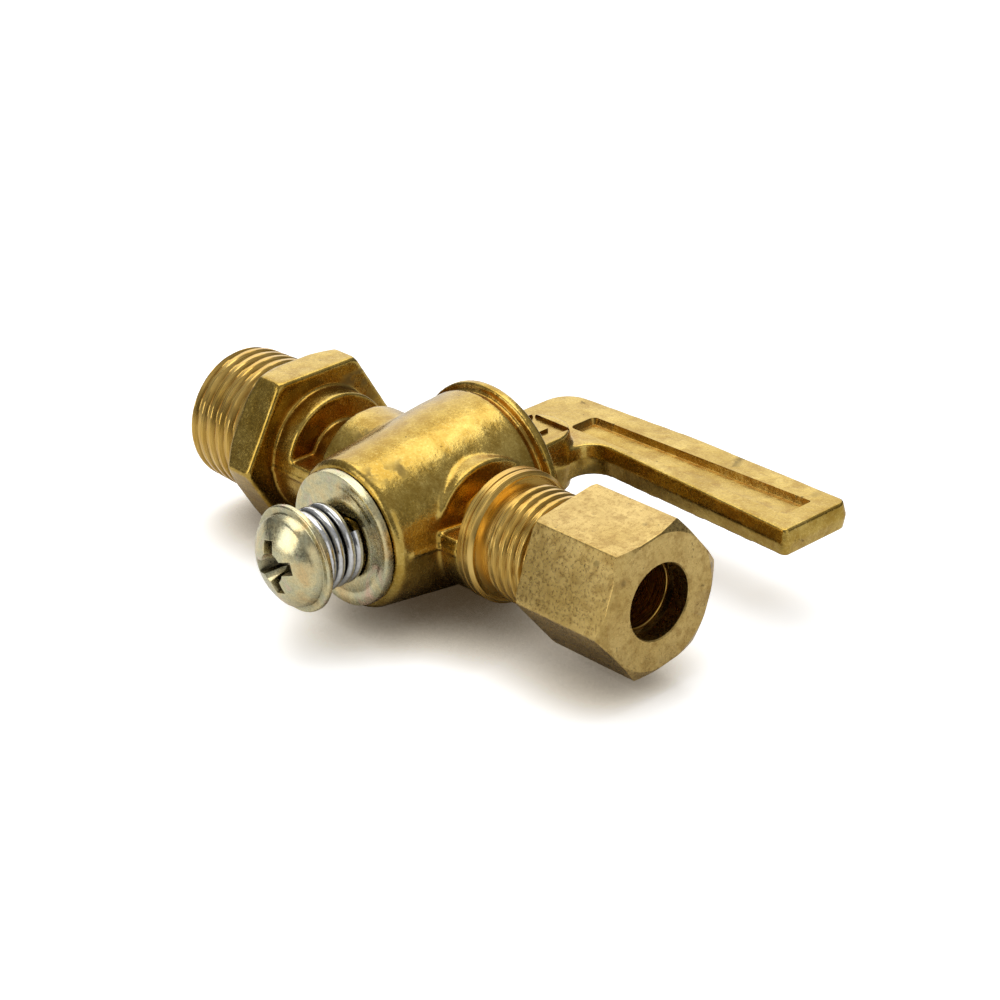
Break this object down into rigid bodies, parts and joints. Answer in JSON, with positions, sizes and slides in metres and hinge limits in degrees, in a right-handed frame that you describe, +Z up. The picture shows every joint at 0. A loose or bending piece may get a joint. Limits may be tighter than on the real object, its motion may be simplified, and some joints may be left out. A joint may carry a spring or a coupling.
{
  "type": "plug cock",
  "caption": "Brass shut-off cock: male taper pipe end with a hex, compression tube end with nut and ferrule, and a tapered plug turned by a flat side lever.",
  "frame": {"origin": "Centre of the bounding box in plan, at its lowest height, with the lever in the open position.", "axes": "+X along the run from the pipe end to the compression end, +Y along the plug from the screw to the lever, +Z up, square to both."},
  "size_m": [0.0582, 0.0431, 0.0183],
  "materials": {
    "forged_brass": "tumbled",
    "turned_brass": "machined",
    "yellow_zinc": "yellow chromate",
    "bright_zinc": "bright"
  },
  "bodies": {
    "body": {"valve_body": "forged_brass"},
    "plug": {"plug_lever": "forged_brass", "plug_washer": "yellow_zinc"},
    "spring": {"plug_spring": "bright_zinc"},
    "screw": {"plug_screw": "yellow_zinc"},
    "ferrule": {"ferrule": "turned_brass"},
    "nut": {"compression_nut": "turned_brass"}
  },
  "joints": [
    {"name": "plug_turn", "type": "hinge", "parent": "body", "child": "plug", "pos_m": [-0.00035, -0.0024, 0.00915], "axis": [0, 1, 0], "continuous": true},
    {"name": "spring_slide", "type": "slide", "parent": "plug", "child": "spring", "axis": [0, -1, 0], "range_m": [0, 0.00158]},
    {"name": "screw_turn", "type": "hinge", "parent": "spring", "child": "screw", "pos_m": [-0.00035, -0.0184, 0.00915], "axis": [0, -1, 0], "range_deg": [0, 540]},
    {"name": "ferrule_slide", "type": "slide", "parent": "body", "child": "ferrule", "axis": [1, 0, 0], "range_m": [-0.00035, 0.00423]},
    {"name": "nut_turn", "type": "hinge", "parent": "ferrule", "child": "nut", "pos_m": [0.02305, -0.0024, 0.00915], "axis": [1, 0, 0], "range_deg": [-120, 1440]}
  ],
  "couplings": [
    {"joint": "screw_turn", "follows": "spring_slide", "rad_per_m": 5936.9},
    {"joint": "nut_turn", "follows": "ferrule_slide", "rad_per_m": 5936.9}
  ]
}
